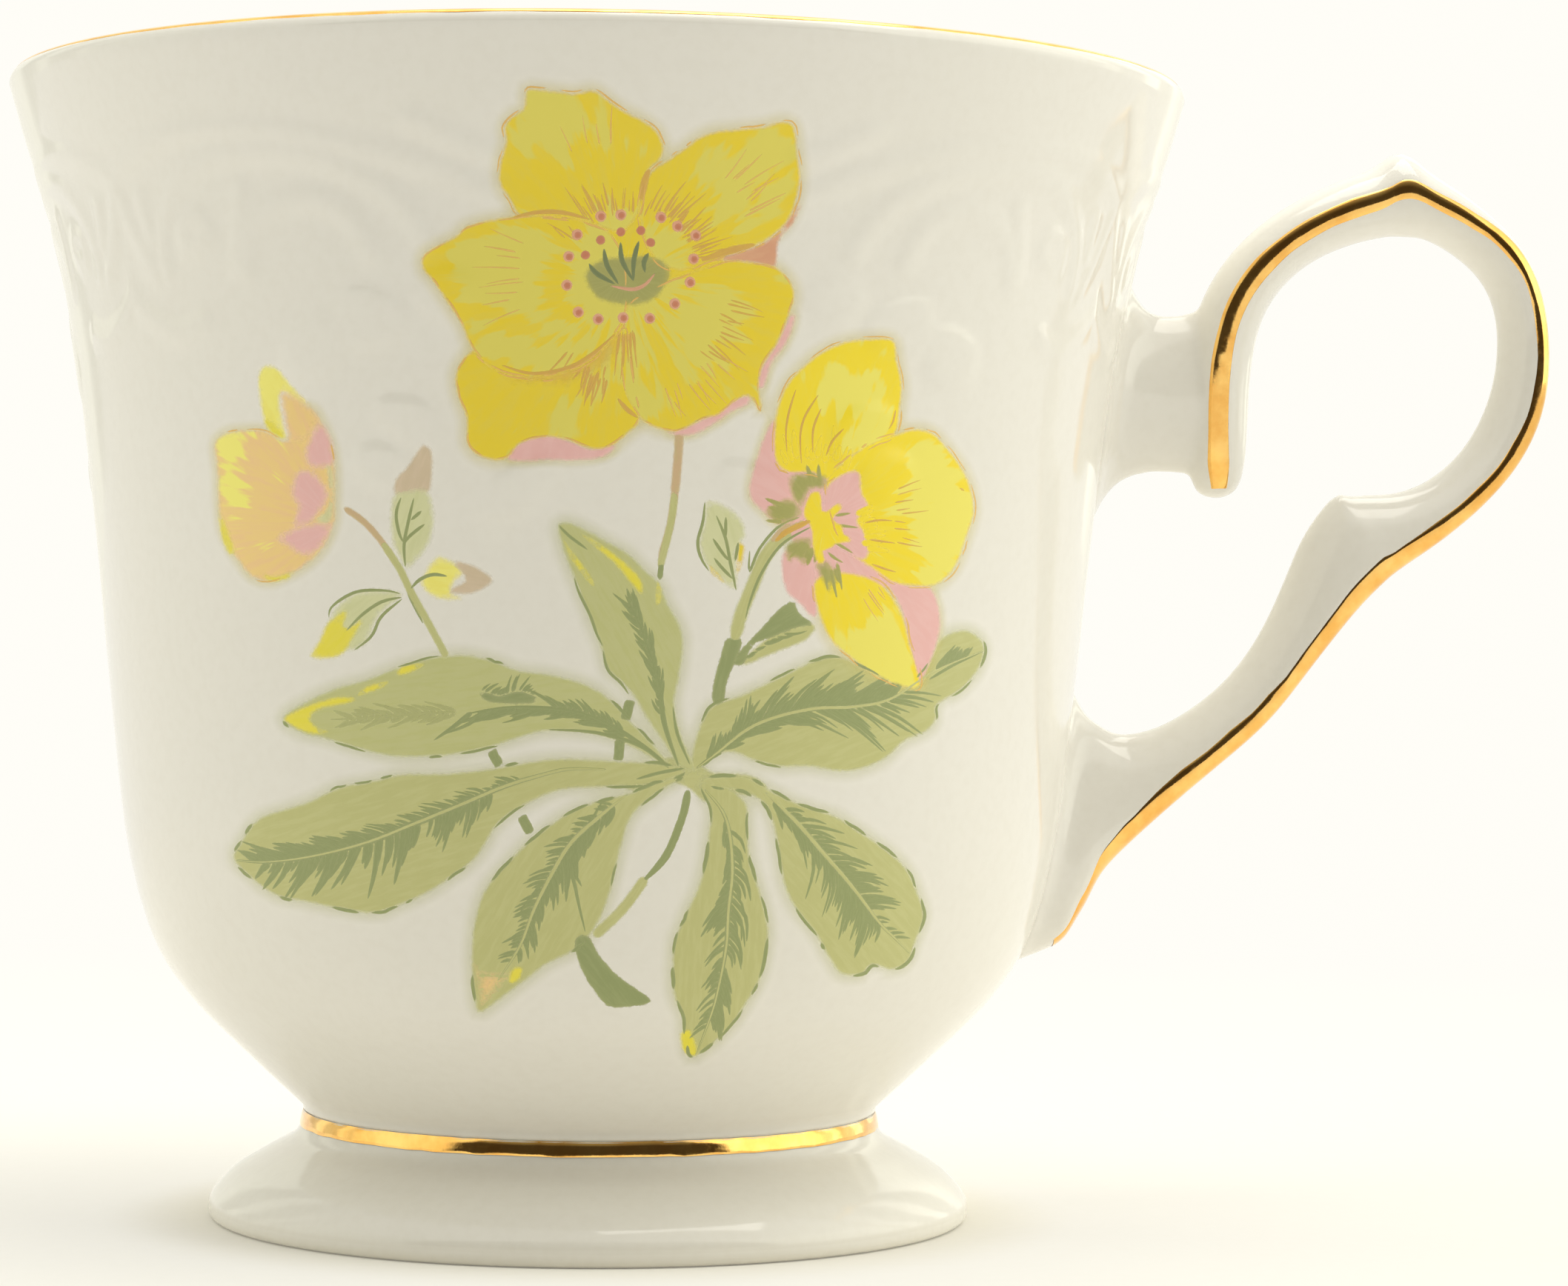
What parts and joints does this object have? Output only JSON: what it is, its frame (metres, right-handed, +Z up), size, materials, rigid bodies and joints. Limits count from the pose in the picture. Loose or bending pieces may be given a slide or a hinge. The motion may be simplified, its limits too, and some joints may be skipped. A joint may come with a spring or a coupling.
{
  "type": "teacup",
  "caption": "Footed porcelain teacup with a flared bowl, a scrolled handle, gilded edges and a bouquet of yellow flowers on the front.",
  "frame": {"origin": "on the cup's axis, in the plane of the foot ring that the cup stands on", "axes": "+Z up the cup's axis, +X from the bowl towards the handle, -Y the side with the bouquet"},
  "size_m": [0.1057, 0.0798, 0.0772],
  "materials": {
    "porcelain": "white glazed porcelain, thin-walled and a little translucent",
    "gilding": "bright burnished gold, brushed on by hand",
    "enamel_yellow": "yellow on-glaze enamel",
    "enamel_pink": "pink on-glaze enamel",
    "enamel_peach": "peach on-glaze enamel",
    "enamel_sage": "light sage green on-glaze enamel",
    "enamel_green": "darker green on-glaze enamel"
  },
  "bodies": {
    "root": {"bowl": "porcelain", "pedestal_foot": "porcelain", "handle": "porcelain", "upper_slip_joint": "porcelain", "lower_slip_joint": "porcelain", "rim_gilding": "gilding", "waist_gilding": "gilding", "handle_gilding_front": "gilding", "handle_gilding_back": "gilding", "main_bloom_petals": "enamel_yellow", "main_bloom_under_petals": "enamel_pink", "main_bloom_eye": "enamel_green", "main_bloom_anthers": "enamel_peach", "side_bloom_petals": "enamel_yellow", "side_bloom_under_petals": "enamel_pink", "side_bloom_heart": "enamel_peach", "left_bud_petals": "enamel_yellow", "left_bud_blush": "enamel_peach", "small_buds": "enamel_pink", "stems": "enamel_green", "leaf_upper": "enamel_sage", "leaf_right": "enamel_sage", "leaf_lower_right": "enamel_sage", "leaf_bottom": "enamel_sage", "leaf_lower_left": "enamel_sage", "leaf_left": "enamel_sage", "leaf_upper_left": "enamel_sage", "leaf_dark": "enamel_green", "leaf_sprig": "enamel_sage"}
  },
  "joints": []
}
